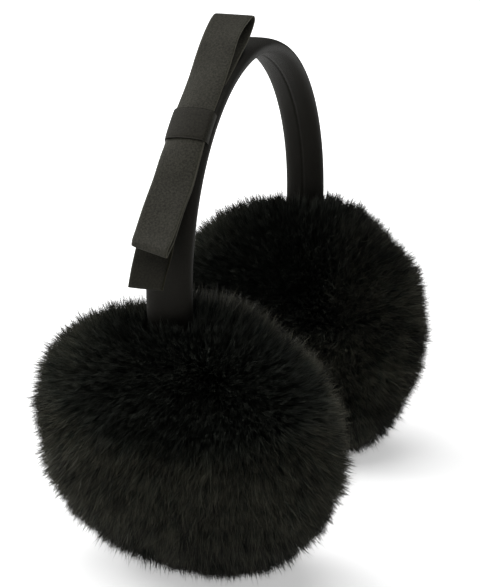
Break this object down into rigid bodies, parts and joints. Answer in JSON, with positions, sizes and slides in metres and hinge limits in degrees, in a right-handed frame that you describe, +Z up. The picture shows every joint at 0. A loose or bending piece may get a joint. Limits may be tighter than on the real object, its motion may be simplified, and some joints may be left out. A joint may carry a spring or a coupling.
{
  "type": "earmuffs",
  "caption": "Two round plush fur muffs on a padded fabric headband, with a folded ribbon bow on the band's side.",
  "frame": {"origin": "on the floor, midway between the muffs and midway front to back", "axes": "+Z up towards the crown of the headband, +X towards the wearer's left muff, wearer faces -Y"},
  "size_m": [0.2098, 0.1264, 0.2065],
  "materials": {
    "band_fabric": "matte black knit cloth",
    "ribbon": "soft satin woven ribbon, charcoal",
    "fur": "deep black plush fur"
  },
  "bodies": {
    "root": {"headband": "band_fabric", "bow_ribbon": "ribbon", "bow_knot": "ribbon", "muff_right": "fur", "muff_left": "fur"}
  },
  "joints": []
}
